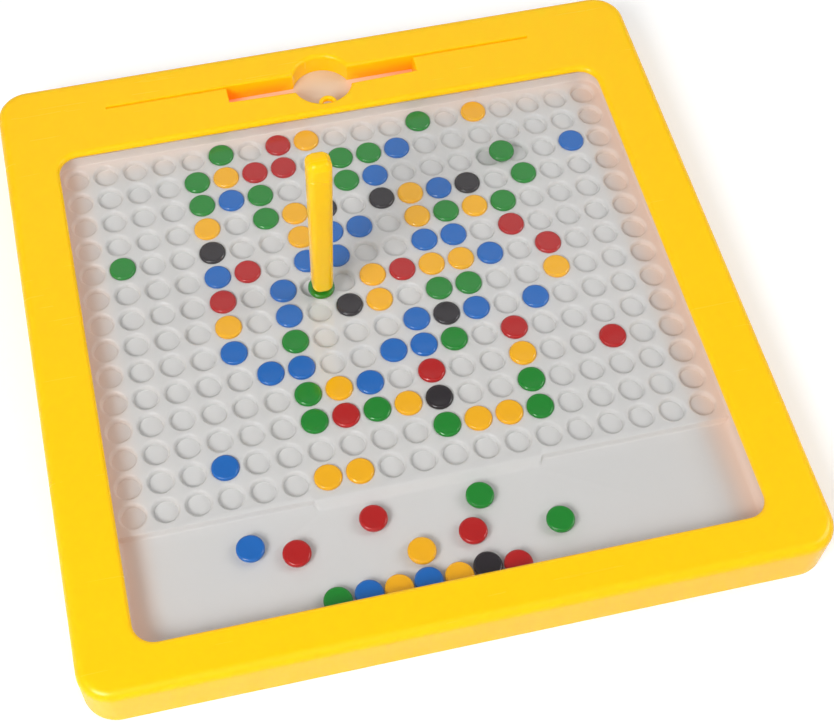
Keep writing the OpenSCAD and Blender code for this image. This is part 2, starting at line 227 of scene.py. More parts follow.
def round_box(x0, y0, x1, y1, radius, steps=10):
    """Anticlockwise outline of a box with round corners: four quarter circles whose ends
    are joined by the straight sides."""
    corners = ((x1 - radius, y0 + radius, -90), (x1 - radius, y1 - radius, 0),
               (x0 + radius, y1 - radius, 90), (x0 + radius, y0 + radius, 180))
    return np.concatenate([arc((x, y), radius, a, a + 90, steps) for x, y, a in corners])


def sideways(path, closed=True):
    """Step of each path point for a sideways move of one: the sum of the outward normals of
    its two sides, divided by one plus their dot product, so that both sides move by one."""
    along = np.roll(path, -1, 0) - path
    if not closed:
        along[-1] = along[-2]
    along /= np.linalg.norm(along, axis=1)[:, None]
    normal = np.stack([along[:, 1], -along[:, 0]], -1)
    before = np.roll(normal, 1, 0)
    if not closed:
        before[0] = normal[0]
    return (normal + before) / (1 + (normal * before).sum(1))[:, None]


def quads(rows, columns, closed):
    """Four-cornered faces of a grid of points, row by row, with its last column joined to
    its first when closed."""
    row = np.arange(rows - 1)[:, None]
    here = np.arange(columns if closed else columns - 1)[None]
    near = (here + 1) % columns
    face = [row * columns + here, row * columns + near,
            (row + 1) * columns + near, (row + 1) * columns + here]
    return np.stack(face, -1).reshape(-1, 4).tolist()


def carry(path, profile, closed=True, stretch=1.0):
    """A profile of (offset, height) carried along a path in plan: each grid point is its
    path point moved sideways by its offset times the stretch, at its height. A height may
    be an array with one value for each path point."""
    side = sideways(path, closed) * np.reshape(stretch, (-1, 1))
    rows = [np.column_stack([path + offset * side, np.broadcast_to(height, len(path))])
            for offset, height in profile]
    return np.concatenate(rows), quads(len(rows), len(path), closed)


def spin(profile, segments, centre=(0.0, 0.0)):
    """A profile of (radius, height) turned round an upright axis: each grid point is the
    radius along the cosine and sine of its angle, at its height."""
    turn = np.radians(np.arange(segments) * 360 / segments)
    ring = np.stack([np.cos(turn), np.sin(turn)], -1)
    rows = [np.column_stack([centre + radius * ring, np.full(segments, height)])
            for radius, height in profile]
    return np.concatenate(rows), quads(len(rows), segments, True)


def repeat(shape, places):
    """Copies of a shape moved to each of the places: the shape's points plus each place."""
    points, faces = shape
    moved = (points[None] + np.asarray(places)[:, None]).reshape(-1, 3)
    start = np.arange(len(places))[:, None, None] * len(points)
    faces = np.asarray(faces)
    return moved, (faces[None] + start).reshape(-1, faces.shape[1]).tolist()


def flat(outline, holes, height):
    """Level face inside an outline and outside its holes: a triangulation that keeps every
    outline's sides, less the triangles that lie in a hole."""
    loops = [outline, *holes]
    ends = np.cumsum([0] + [len(loop) for loop in loops])
    points = [Vector(p) for p in np.concatenate(loops).tolist()]
    rings = [list(range(a, b)) for a, b in zip(ends[:-1], ends[1:])]
    found, _, faces, _, _, source = delaunay_2d_cdt(points, [], rings, 1, 1e-7)
    kept = [face for face, own in zip(faces, source) if own == [0]]
    level = np.column_stack([np.array(found), np.full(len(found), height)])
    return level, kept


def cap(path, height):
    """Level face that closes a convex outline, as one polygon."""
    points = np.column_stack([path, np.full(len(path), height)])
    return points, [list(range(len(path)))]


def block(low, high, soft):
    """Box with rounded upright edges and bevelled rims: one outline carried round a profile
    that steps in at both ends, and closed by two polygons."""
    path = round_box(low[0], low[1], high[0], high[1], soft * 1.5, 3)
    profile = [(-soft, low[2]), (0, low[2] + soft), (0, high[2] - soft), (-soft, high[2])]
    inner = path - soft * sideways(path)
    return [carry(path, profile), cap(inner, low[2]), cap(inner, high[2])]


def make_piece(name, shells, body, finish, stands_for, crease=35.0):
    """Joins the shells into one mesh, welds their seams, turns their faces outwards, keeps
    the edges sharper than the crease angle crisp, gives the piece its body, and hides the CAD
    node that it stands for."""
    counts = np.cumsum([0] + [len(points) for points, _ in shells])
    faces = [[corner + start for corner in face]
             for (_, polygons), start in zip(shells, counts.tolist()) for face in polygons]
    mesh = bpy.data.meshes.new(name)
    mesh.from_pydata(np.concatenate([points for points, _ in shells]).tolist(), [], faces)
    work = bmesh.new()
    work.from_mesh(mesh)
    bmesh.ops.remove_doubles(work, verts=work.verts, dist=WELD)
    bmesh.ops.recalc_face_normals(work, faces=work.faces)
    work.to_mesh(mesh)
    work.free()
    mesh.shade_smooth()
    mesh.set_sharp_from_angle(angle=math.radians(crease))
    mesh.materials.append(finish)
    piece = bpy.data.objects.new(name, mesh)
    bpy.context.scene.collection.objects.link(piece)
    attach(piece, body)
    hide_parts(stands_for)


# ---------------------------------------------------------------- materials


def new_socket(tree, name, kind, way, default=None):
    """A named input or output of a node group."""
    socket = tree.interface.new_socket(name=name, in_out=way, socket_type=kind)
    if default is not None:
        socket.default_value = default


def math_node(tree, operation, first, second):
    """A maths node. Each side is a socket or a number."""
    node = tree.nodes.new("ShaderNodeMath")
    node.operation = operation
    for value, socket in zip((first, second), node.inputs):
        if isinstance(value, (int, float)):
            socket.default_value = value
        else:
            tree.links.new(value, socket)
    return node.outputs[0]


def noise_node(tree, place, scale, detail, roughness=0.5):
    """A noise on the given coordinates, with its value between 0 and 1."""
    node = tree.nodes.new("ShaderNodeTexNoise")
    node.inputs["Detail"].default_value = detail
    node.inputs["Roughness"].default_value = roughness
    if isinstance(scale, (int, float)):
        node.inputs["Scale"].default_value = scale
    else:
        tree.links.new(scale, node.inputs["Scale"])
    tree.links.new(place, node.inputs["Vector"])
    return node.outputs["Fac"]


def mix_colours(tree, factor, first, second):
    """A mix of two colours by a factor's socket. Each colour is a socket or a tuple."""
    node = tree.nodes.new("ShaderNodeMix")
    node.data_type = "RGBA"
    sides = (("Factor", factor), ("A", first), ("B", second))
    for name, value in sides:
        socket = next(s for s in node.inputs if s.name == name and s.enabled)
        if isinstance(value, tuple):
            socket.default_value = value
        else:
            tree.links.new(value, socket)
    return next(s for s in node.outputs if s.enabled)


def moulded_group():
    """Look of injection-moulded plastic: slow drifts of tone where the melt flowed, a fine
    mottle in the gloss, and the faint orange peel of the mould's polish."""
    group = bpy.data.node_groups.new("Moulded plastic", "ShaderNodeTree")
    new_socket(group, "Colour", "NodeSocketColor", "INPUT", (0.8, 0.8, 0.8, 1.0))
    new_socket(group, "Drift", "NodeSocketFloat", "INPUT", 0.04)
    new_socket(group, "Gloss", "NodeSocketFloat", "INPUT", 0.3)
    new_socket(group, "Mottle", "NodeSocketFloat", "INPUT", 0.08)
    new_socket(group, "Grain Scale", "NodeSocketFloat", "INPUT", 600.0)
    new_socket(group, "Colour", "NodeSocketColor", "OUTPUT")
    new_socket(group, "Roughness", "NodeSocketFloat", "OUTPUT")
    new_socket(group, "Height", "NodeSocketFloat", "OUTPUT")
    inside = group.nodes.new("NodeGroupInput").outputs
    result = group.nodes.new("NodeGroupOutput").inputs
    place = group.nodes.new("ShaderNodeTexCoord").outputs["Object"]
    flow = noise_node(group, place, 14.0, 3.0, 0.55)
    tone = math_node(group, "SUBTRACT", flow, 0.5)
    tone = math_node(group, "MULTIPLY", tone, inside["Drift"])
    tone = math_node(group, "ADD", tone, 1.0)
    scaled = group.nodes.new("ShaderNodeVectorMath")
    scaled.operation = "SCALE"
    group.links.new(inside["Colour"], scaled.inputs["Vector"])
    group.links.new(tone, scaled.inputs["Scale"])
    group.links.new(scaled.outputs["Vector"], result["Colour"])
    speckle = noise_node(group, place, 160.0, 2.0, 0.6)
    uneven = math_node(group, "SUBTRACT", speckle, 0.5)
    uneven = math_node(group, "MULTIPLY", uneven, inside["Mottle"])
    group.links.new(math_node(group, "ADD", uneven, inside["Gloss"]), result["Roughness"])
    grain = noise_node(group, place, inside["Grain Scale"], 2.0, 0.5)
    group.links.new(grain, result["Height"])
    return group


def ramp_up(tree, value, low, high, share):
    """A smooth rise from nothing at low to the given share at high."""
    node = tree.nodes.new("ShaderNodeMapRange")
    node.interpolation_type = "SMOOTHSTEP"
    node.inputs["From Min"].default_value = low
    node.inputs["From Max"].default_value = high
    node.inputs["To Max"].default_value = share
    tree.links.new(value, node.inputs["Value"])
    return node.outputs["Result"]


def split_place(tree):
    """The X, Y and Z sockets of the object's own coordinates."""
    split = tree.nodes.new("ShaderNodeSeparateXYZ")
    place = tree.nodes.new("ShaderNodeTexCoord").outputs["Object"]
    tree.links.new(place, split.inputs["Vector"])
    return split.outputs


def border_group():
    """Painted shade and painted warm light on the panel's border, in place of the shade under
    the shell's bars and the warm light that they pass on: a mask that rises towards the side
    walls, and more weakly towards the front and the back wall, and a second one for the
    painted shade on the tongue behind the window."""
    size = bpy.context.scene.board_panel
    group = bpy.data.node_groups.new("Border glow", "ShaderNodeTree")
    new_socket(group, "Mask", "NodeSocketFloat", "OUTPUT")
    new_socket(group, "Tongue", "NodeSocketFloat", "OUTPUT")
    result = group.nodes.new("NodeGroupOutput").inputs
    place = split_place(group)
    across = math_node(group, "ABSOLUTE", place["X"], 0.0)
    side = ramp_up(group, across, size.glow_start, size.glow_full, 1.0)
    front_start, front_full = PANEL_FRONT - 8 * MM, PANEL_FRONT - 3 * MM
    back_start, back_full = WINDOW_BACK - 9 * MM, WINDOW_BACK - 2 * MM
    tongue_full = WINDOW_BACK + 3 * MM
    ahead = math_node(group, "MULTIPLY", place["Y"], -1.0)
    front = ramp_up(group, ahead, front_start, front_full, 0.5)
    back = ramp_up(group, place["Y"], back_start, back_full, 0.45)
    # painted shade on the tongue behind the window, in place of the shade and yellow bounce light
    # in the recess
    tongue = ramp_up(group, place["Y"], WINDOW_BACK, tongue_full, 1.0)
    group.links.new(tongue, result["Tongue"])
    ends = math_node(group, "MAXIMUM", math_node(group, "MAXIMUM", front, back), tongue)
    group.links.new(math_node(group, "MAXIMUM", side, ends), result["Mask"])
    return group


def recess_group():
    """Mask for the painted shade and painted glow in the ends of the pen's recess: it rises
    with the depth below the frame's top and with the distance from the finger hole, and is
    nothing outside the recess."""
    size = bpy.context.scene.board_shell
    group = bpy.data.node_groups.new("Recess glow", "ShaderNodeTree")
    new_socket(group, "Mask", "NodeSocketFloat", "OUTPUT")
    result = group.nodes.new("NodeGroupOutput").inputs
    place = split_place(group)
    across = math_node(group, "ABSOLUTE", place["X"], 0.0)
    ends = ramp_up(group, across, size.finger - 3 * MM, size.finger + 5 * MM, 1.0)
    depth = math_node(group, "SUBTRACT", SHELL_HIGH.z, place["Z"])
    deep_painted_shade = ramp_up(group, depth, 1 * MM, SHELL_HIGH.z - size.recess_floor, 1.0)
    margin = 0.6 * MM
    inside_x = math_node(group, "LESS_THAN", across, size.recess_half + margin)
    middle = 0.5 * (size.recess_front + size.recess_back)
    reach = 0.5 * (size.recess_back - size.recess_front) + margin
    off = math_node(group, "SUBTRACT", place["Y"], middle)
    inside_y = math_node(group, "LESS_THAN", math_node(group, "ABSOLUTE", off, 0.0), reach)
    inside = math_node(group, "MULTIPLY", inside_x, inside_y)
    mask = math_node(group, "MULTIPLY", math_node(group, "MULTIPLY", ends, deep_painted_shade), inside)
    group.links.new(mask, result["Mask"])
    return group


def scuff_group():
    """Handling marks: sparse fine hairlines that run in two directions, as a mask."""
    group = bpy.data.node_groups.new("Handling marks", "ShaderNodeTree")
    new_socket(group, "Scale", "NodeSocketFloat", "INPUT", 18.0)
    new_socket(group, "Mask", "NodeSocketFloat", "OUTPUT")
    inside = group.nodes.new("NodeGroupInput").outputs
    result = group.nodes.new("NodeGroupOutput").inputs
    place = group.nodes.new("ShaderNodeTexCoord").outputs["Object"]
    marks = []
    for turn, squeeze in ((0.5, 22.0), (-0.9, 30.0)):
        mapping = group.nodes.new("ShaderNodeMapping")
        mapping.inputs["Rotation"].default_value = (0.0, 0.0, turn)
        mapping.inputs["Scale"].default_value = (1.0, squeeze, 1.0)
        group.links.new(place, mapping.inputs["Vector"])
        line = noise_node(group, mapping.outputs["Vector"], inside["Scale"], 2.0, 0.6)
        marks.append(math_node(group, "GREATER_THAN", line, 0.71))
    group.links.new(math_node(group, "MAXIMUM", *marks), result["Mask"])
    return group


def place_group(tree, maker, title):
    """A node that holds the group of that title, made the first time it is asked for."""
    node = tree.nodes.new("ShaderNodeGroup")
    node.node_tree = bpy.data.node_groups.get(title) or maker()
    return node


def principled(name):
    """A new material with its shader, and its node tree."""
    material = bpy.data.materials.new(name)
    material.use_nodes = True
    shader = material.node_tree.nodes["Principled BSDF"]
    return material, material.node_tree, shader


def moulded_plastic(name, colour, gloss, drift=0.04, mottle=0.06, grain=600.0, peel=0.006,
                    scuffs=0.0, specular=0.5, glow=0.0, light=None):
    """Plastic straight from a polished mould, made once for each name. Scuffs raise the
    roughness along hairlines, and glow lets that share of the light pass through the wall
    and take its colour. The light function, if there is one, adds what the surface gives
    off."""
    material = bpy.data.materials.get(name)
    if material:
        return material
    material, tree, shader = principled(name)
    skin = place_group(tree, moulded_group, "Moulded plastic")
    skin.inputs["Colour"].default_value = tuple(colour)
    skin.inputs["Drift"].default_value = drift
    skin.inputs["Gloss"].default_value = gloss
    skin.inputs["Mottle"].default_value = mottle
    skin.inputs["Grain Scale"].default_value = grain
    tree.links.new(skin.outputs["Colour"], shader.inputs["Base Color"])
    rough = skin.outputs["Roughness"]
    if scuffs:
        marks = place_group(tree, scuff_group, "Handling marks")
        worn = math_node(tree, "MULTIPLY", marks.outputs["Mask"], scuffs)
        rough = math_node(tree, "ADD", rough, worn)
    tree.links.new(rough, shader.inputs["Roughness"])
    bump = tree.nodes.new("ShaderNodeBump")
    bump.inputs["Strength"].default_value = peel
    bump.inputs["Distance"].default_value = 0.0002
    tree.links.new(skin.outputs["Height"], bump.inputs["Height"])
    tree.links.new(bump.outputs["Normal"], shader.inputs["Normal"])
    shader.inputs["Specular IOR Level"].default_value = specular
    shader.inputs["Subsurface Weight"].default_value = glow
    shader.inputs["Subsurface Radius"].default_value = (1.0, 0.45, 0.08)
    shader.inputs["Subsurface Scale"].default_value = 3 * MM
    if light:
        light(tree, shader)
    return material


def floor_light(tree, shader):
    """Light that lifts the floor to white for the camera and adds none to the rest."""
    shader.inputs["Emission Color"].default_value = (1.0, 1.0, 1.0, 1.0)
    path = tree.nodes.new("ShaderNodeLightPath")
    seen = math_node(tree, "MULTIPLY", path.outputs["Is Camera Ray"], 0.3)
    tree.links.new(seen, shader.inputs["Emission Strength"])


def shell_light(tree, shader):
    """Painted light on the shell: a faint painted glow all over in place of light inside the
    plastic, and in the ends of the recess a painted shade that darkens the colour to orange
    and a painted orange glow.
    """
    finish = bpy.context.scene.board_finish
    recess = place_group(tree, recess_group, "Recess glow").outputs["Mask"]
    colour = shader.inputs["Base Color"]
    # painted shade: the ends of the recess are mixed to a darker orange
    deep_painted_shade = mix_colours(tree, recess, colour.links[0].from_socket, tuple(finish.deep_painted_shade))
    tree.links.new(deep_painted_shade, colour)
    # painted glow: faint and warm all over, orange in the ends of the recess
    glow = mix_colours(tree, recess, tuple(finish.shell_glow), tuple(finish.deep_glow))
    tree.links.new(glow, shader.inputs["Emission Color"])
    shader.inputs["Emission Strength"].default_value = INNER_LIGHT


def panel_light(tree, shader):
    """Painted light on the panel: painted shade and a painted warm glow on the border and the
    tongue, in place of the shade and the light that the shell's bars pass on, and a painted
    orange glow in the ends of the recess.
    """
    finish = bpy.context.scene.board_finish
    masks = place_group(tree, border_group, "Border glow").outputs
    border = masks["Mask"]
    recess = place_group(tree, recess_group, "Recess glow").outputs["Mask"]
    colour = shader.inputs["Base Color"]
    # painted shade: the border and then the tongue are mixed to darker, warmer colours
    warm = mix_colours(tree, border, colour.links[0].from_socket, tuple(finish.border))
    warm = mix_colours(tree, masks["Tongue"], warm, tuple(finish.tongue))
    tree.links.new(warm, colour)
    # painted glow: the border and the tongue give off warm light, the ends of the recess orange
    # light
    glow = mix_colours(tree, border, (0.0, 0.0, 0.0, 1.0), tuple(finish.border_glow))
    glow = mix_colours(tree, recess, glow, tuple(finish.deep_glow))
    tree.links.new(glow, shader.inputs["Emission Color"])
    shader.inputs["Emission Strength"].default_value = INNER_LIGHT


def shell_plastic():
    """Glossy yellow plastic of the shell, the pen and the cover."""
    return moulded_plastic("shell_plastic", bpy.context.scene.board_finish.shell, 0.24,
                           drift=0.03, scuffs=0.04, specular=0.3, glow=0.4, light=shell_light)


def panel_plastic():
    """Satin off-white plastic of the dimpled panel."""
    return moulded_plastic("panel_plastic", bpy.context.scene.board_finish.panel, 0.42,
                           drift=0.02, grain=900.0, peel=0.012, specular=0.35,
                           light=panel_light)


def bead_plastic(colour):
    """Glossy plastic of the beads of one colour."""
    value = getattr(bpy.context.scene.board_finish, colour)
    return moulded_plastic(f"bead_plastic_{colour}", value, 0.11, drift=0.08, mottle=0.05,
                           grain=1500.0, peel=0.004)


def window_clear():
    """Clear pane: light goes straight through, less what the outer faces mirror. The inner
    side of each face mirrors nothing."""
    material = bpy.data.materials.new("window_clear")
    material.use_nodes = True
    tree = material.node_tree
    tree.nodes.remove(tree.nodes["Principled BSDF"])
    clear = tree.nodes.new("ShaderNodeBsdfTransparent")
    clear.inputs["Color"].default_value = (0.98, 0.98, 0.98, 1.0)
    mirror = tree.nodes.new("ShaderNodeBsdfGlossy")
    mirror.inputs["Color"].default_value = (1.0, 1.0, 1.0, 1.0)
    marks = place_group(tree, scuff_group, "Handling marks")
    worn = math_node(tree, "MULTIPLY", marks.outputs["Mask"], 0.10)
    tree.links.new(math_node(tree, "ADD", worn, 0.10), mirror.inputs["Roughness"])
    fresnel = tree.nodes.new("ShaderNodeFresnel")
    fresnel.inputs["IOR"].default_value = 1.55
    geometry = tree.nodes.new("ShaderNodeNewGeometry")
    outer = math_node(tree, "SUBTRACT", 1.0, geometry.outputs["Backfacing"])
    share = math_node(tree, "MULTIPLY", fresnel.outputs["Fac"], outer)
    mix = tree.nodes.new("ShaderNodeMixShader")
    tree.links.new(share, mix.inputs["Fac"])
    tree.links.new(clear.outputs["BSDF"], mix.inputs[1])
    tree.links.new(mirror.outputs["BSDF"], mix.inputs[2])
    tree.links.new(mix.outputs["Shader"], tree.nodes["Material Output"].inputs["Surface"])
    return material


def turned_steel(name, colour, gloss):
    """Plated steel: a fine streaky grain in the gloss and a faint change of tone."""
    material, tree, shader = principled(name)
    place = tree.nodes.new("ShaderNodeTexCoord").outputs["Object"]
    cloud = noise_node(tree, place, 220.0, 3.0, 0.6)
    darker = tuple(0.82 * c for c in colour)
    tone = mix_colours(tree, cloud, (*darker, 1.0), (*colour, 1.0))
    tree.links.new(tone, shader.inputs["Base Color"])
    streak = noise_node(tree, place, 900.0, 2.0, 0.5)
    spread = math_node(tree, "MULTIPLY", streak, 0.16)
    tree.links.new(math_node(tree, "ADD", spread, gloss), shader.inputs["Roughness"])
    shader.inputs["Metallic"].default_value = 1.0
    return material


# ---------------------------------------------------------------- shell


def recess_path(size, slits):
    """Anticlockwise outline of the pen recess and the finger hole: the hole's front and back
    arcs, cut where they meet the recess's long walls, and the recess's ends. With slits, the
    two card slits run on from the ends of its back wall."""
    front, back = size.recess_front, size.recess_back
    near = math.degrees(math.asin((size.finger_y - front) / size.finger))
    far = math.degrees(math.asin((back - size.finger_y) / size.finger))
    centre = (0.0, size.finger_y)
    inner = back - size.slit
    right = [(size.recess_half, front), (size.recess_half, inner)]
    if slits:
        right += [(size.slit_end, inner), (size.slit_end, back)]
    right = np.array(right + [(size.recess_half, back)])
    left = right[::-1] * (-1, 1)
    return np.concatenate([arc(centre, size.finger, 180 + near, 360 - near, 18), right,
                           arc(centre, size.finger, far, 180 - far, 18), left])


def rounded_lip(path, radius, top, low, steps=5):
    """Wall of an opening with a rounded rim: a quarter circle from the wall to the top face,
    whose radius may change along the path, and a narrow level band outside it."""
    radius = np.broadcast_to(radius, len(path))
    turn = np.linspace(0, math.pi / 2, steps + 1)
    profile = [(0.0, low)]
    profile += [(1 - math.cos(t), top - radius * (1 - math.sin(t))) for t in turn]
    points, faces = carry(path, profile, True, radius)
    band = carry(path + radius[:, None] * sideways(path), [(0.0, top), (0.12 * MM, top)])
    rim = band[0][len(path):, :2]
    return [(points, faces), band], rim


def eyelet_shape(size, plate_z):
    """Half ring for a tether: a rounded band turned round an upright axis, from just inside
    the finger hole's front wall on one side to the other, its ends closed."""
    half_w, half_h, soft = size.eyelet_wide / 2, size.eyelet_tall / 2, 0.5 * MM
    band = round_box(-half_w, -half_h, half_w, half_h, soft, 4)
    steps, past = 36, 14
    turn = np.radians(np.linspace(-past, 180 + past, steps + 1))[:, None]
    middle = plate_z - 0.6 * MM + half_h
    across = (size.eyelet + band[:, 0]) * np.cos(turn)
    along = size.finger_y - size.finger + (size.eyelet + band[:, 0]) * np.sin(turn)
    height = np.broadcast_to(middle + band[:, 1], across.shape)
    points = np.stack([across, along, height], -1).reshape(-1, 3)
    n = len(band)
    ends = [list(range(n)), list(range(steps * n, (steps + 1) * n))]
    return points, quads(steps + 1, n, True) + ends


def screw_places():
    """Axes of the screws, from the middles of the separate screws' points: the points of
    the screws' node fall into groups that lie further apart than a screw is wide."""
    mesh = frame["nodes"]["case_screws"].data
    points = np.zeros(len(mesh.vertices) * 3, np.float32)
    mesh.vertices.foreach_get("co", points)
    plan = points.reshape(-1, 3)[:, :2].astype(float)
    places = []
    while len(plan):
        near = np.hypot(*(plan - plan[0]).T) < SCREW_APART
        low, high = plan[near].min(0), plan[near].max(0)
        places.append((*(low + high) / 2, 0.0))
        plan = plan[~near]
    return places


def rib_shapes(size, plate_z):
    """Ribs round the window's pocket, at its sides and its front, hanging from the plate."""
    low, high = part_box("window")
    gap = 0.3 * MM
    foot = plate_z - size.rib_tall
    shells = []
    for side in (-1, 1):
        ends = sorted((side * (high.x + gap), side * (high.x + gap + size.rib)))
        shells += block((ends[0], low.y - gap, foot), (ends[1], high.y + gap, plate_z), 0.2 * MM)
    return shells + block((low.x - gap - size.rib, low.y - gap - size.rib, foot),
                          (high.x + gap + size.rib, low.y - gap, plate_z), 0.2 * MM)


def skirt_shape(size, outer, top, plate_z):
    """The skirt, from the plate's underside round its foot and over the rounded top edge to
    a narrow level band."""
    foot = 0.4 * MM
    turn = np.linspace(0, math.pi / 2, 13)
    profile = [(-size.wall, plate_z), (-size.wall, foot), (-size.wall + foot, 0.0),
               (-foot, 0.0), (0.0, foot)]
    profile += [(-size.edge * (1 - math.cos(t)), top - size.edge * (1 - math.sin(t)))
                for t in turn]
    return carry(outer, profile + [(-size.edge - EDGE_BAND, top)])


def level_box(x0, y0, x1, y1, height):
    """Level rectangle between two corners."""
    return cap(np.array([(x0, y0), (x1, y0), (x1, y1), (x0, y1)]), height)


def slit_shapes(size, slit_z):
    """The floors of the two card slits and the undersides of the walls round them."""
    wall = size.inner_wall
    front, back = size.recess_back - size.slit, size.recess_back
    shells = []
    for side in (-1, 1):
        left, right = sorted((side * size.recess_half, side * size.slit_end))
        shells += [level_box(left, front, right, back, slit_z)]
        shells += [level_box(left - wall * (side < 0), front - wall,
                             right + wall * (side > 0), back + wall, slit_z - wall)]
    return shells


def boss_shapes(size, plate_z):
    """The screw bosses with their blind pilot holes."""
    roof = plate_z - 1.8 * MM
    profile = [(0.0, roof), (size.pilot, roof), (size.pilot, size.boss_foot),
               (size.boss, size.boss_foot), (size.boss, plate_z)]
    return [repeat(spin(profile, 24), screw_places())]


def shell_shapes(size):
    """The shell as closed skins: skirt, top plate with its openings, recess walls, eyelet,
    screw bosses and the ribs that hold the window."""
    half, top = SHELL_HIGH.x, SHELL_HIGH.z
    plate_z = top - size.plate
    outer = round_box(-half, -half, half, half, size.corner, 14)
    opening = round_box(-half + size.side_bar, -half + size.front_bar,
                        half - size.side_bar, half - size.back_bar, size.opening_corner)
    shells = [skirt_shape(size, outer, top, plate_z)]
    outer_rim = outer - (size.edge + EDGE_BAND) * sideways(outer)
    lip, opening_rim = rounded_lip(opening, size.lip, top, plate_z)
    shells += lip
    with_slits = recess_path(size, True)
    bare = recess_path(size, False)
    slit_z = top - size.slit_depth
    on_hole = np.hypot(with_slits[:, 0], with_slits[:, 1] - size.finger_y)
    radius = np.where(on_hole < size.finger * 1.01, size.finger_lip, size.recess_lip)
    lip, recess_rim = rounded_lip(with_slits, radius, top, slit_z)
    shells += lip
    shells += [flat(outer_rim, [opening_rim, recess_rim], top)]
    shells += [carry(bare, [(0.0, slit_z), (0.0, size.recess_floor),
                            (size.inner_wall, size.recess_floor),
                            (size.inner_wall, slit_z - size.inner_wall)])]
    shells += slit_shapes(size, slit_z)
    ribs = with_slits + size.inner_wall * sideways(with_slits)
    shells += [carry(ribs, [(0.0, slit_z - size.inner_wall), (0.0, plate_z)])]
    cavity = outer - size.wall * sideways(outer)
    shells += [flat(cavity, [opening, ribs], plate_z)]
    shells += [eyelet_shape(size, plate_z)]
    return shells + boss_shapes(size, plate_z) + rib_shapes(size, plate_z)


# ---------------------------------------------------------------- panel


def grid_places(size):
    """Centres of the dimples, as an array of (x, y)."""
    across = (np.arange(size.columns) - (size.columns - 1) / 2) * size.pitch
    along = (np.arange(size.rows) - (size.rows - 1) / 2) * size.pitch + size.shift
    return np.stack(np.meshgrid(across, along), -1).reshape(-1, 2)


def dimple_profile(size, steps=6):
    """Section of a dimple from its rim to its middle: a quarter of an ellipse that leaves
    the deck level and reaches the flat floor upright."""
    turn = np.linspace(0, math.pi / 2, steps + 1)
    radius = size.rim + (size.floor - size.rim) * np.sin(turn)
    height = size.deck - size.depth * (1 - np.cos(turn))
    return list(zip(radius.tolist(), height.tolist())) + [(0.0, size.deck - size.depth)]


def front_of_deck(size, wide):
    """The deck's front edge and the ramp in its middle, as a grid whose rows run forward.
    The height falls from the deck to the tray along an S-curve, three times the square less
    twice the cube of the way: over the edge's own rounding at the sides, and over the whole
    ramp in the middle. The ramp's sides come in with every row."""
    soft = 0.3 * MM
    ahead = np.linspace(0, size.fall, 7)
    ahead = np.concatenate([ahead, np.linspace(size.fall, size.ramp_run, 7)[1:]])
    share = ahead / size.ramp_run
    edge, ramp = [size.deck - (size.deck - size.tray) * way * way * (3 - 2 * way)
                  for way in (np.minimum(ahead / size.fall, 1), share)]
    side = size.ramp_half - size.ramp_taper * share
    right = np.stack([side - 3 * soft, side - soft, side + soft, side + 3 * soft,
                      np.full(len(ahead), wide)], -1)
    level = np.stack([ramp, ramp, edge, edge, edge], -1)
    across = np.concatenate([-right[:, ::-1], right], 1)
    height = np.concatenate([level[:, ::-1], level], 1)
    forward = np.broadcast_to(-size.deck_front - ahead[:, None], across.shape)
    return np.stack([across, forward, height], -1)


def panel_shapes(size):
    """The panel as closed skins: the dimpled deck, its stepped front edge, the coved tray,
    the rim wall, the underside and the tongue that floors the pen recess."""
    segments = 24
    low_z, top = PANEL_LOW.z, PANEL_HIGH.z
    wide = PANEL_HIGH.x - size.wall
    front = PANEL_LOW.y + size.wall
    back = WINDOW_BACK - size.wall
    steps = 10
    chamber = round_box(-wide, front, wide, back, size.corner, steps)
    edge_y = -size.deck_front
    soft = 0.5 * MM
    # the chamber's outline starts at its front right corner and runs anticlockwise, with
    # the same number of points in each corner
    split = steps + 1
    deck_path = np.concatenate([[(wide, edge_y)], chamber[split:3 * split],
                                [(-wide, edge_y)]])
    tray_path = np.concatenate([[(-wide, edge_y)], chamber[3 * split:], chamber[:split],
                                [(wide, edge_y)]])
    turn = np.linspace(0, math.pi / 2, 5)
    deck_wall = [(0.0, top)] + [(-soft * (1 - math.cos(t)), size.deck + soft * (1 - math.sin(t)))
                                for t in turn]
    turn = np.linspace(0, math.pi / 2, 9)
    tray_wall = [(0.0, top)] + [(-size.cove * (1 - math.cos(t)),
                                 size.tray + size.cove * (1 - math.sin(t))) for t in turn]
    shells = [carry(deck_path, deck_wall, False), carry(tray_path, tray_wall, False)]
    lead = front_of_deck(size, wide)
    shells += [(lead.reshape(-1, 3), quads(*lead.shape[:2], False))]
    deck_rim = deck_path - soft * sideways(deck_path, False)
    deck_outline = np.concatenate([deck_rim, lead[0, 1:-1, :2]])
    circle = spin([(size.rim, size.deck)], segments)[0][:, :2]
    rims = [circle + place for place in grid_places(size)]
    shells += [flat(deck_outline, rims, size.deck)]
    places = np.column_stack([grid_places(size), np.zeros(size.columns * size.rows)])
    shells += [repeat(spin(dimple_profile(size), segments), places)]
    tray_rim = tray_path - size.cove * sideways(tray_path, False)
    tray_rim[[0, -1], 1] -= size.ramp_run
    shells += [flat(np.concatenate([tray_rim, lead[-1, -2:0:-1, :2]]), [], size.tray)]
    outer = chamber + size.wall * sideways(chamber)
    shells += [flat(outer, [chamber], top), carry(outer, [(0.0, top), (0.0, low_z)]),
               cap(outer, low_z)]
    shells += block((-size.tongue_half, back + 0.5 * size.wall, size.deck - size.tongue),
                    (size.tongue_half, PANEL_HIGH.y, size.deck), 0.3 * MM)
    return shells


# ---------------------------------------------------------------- beads and pen


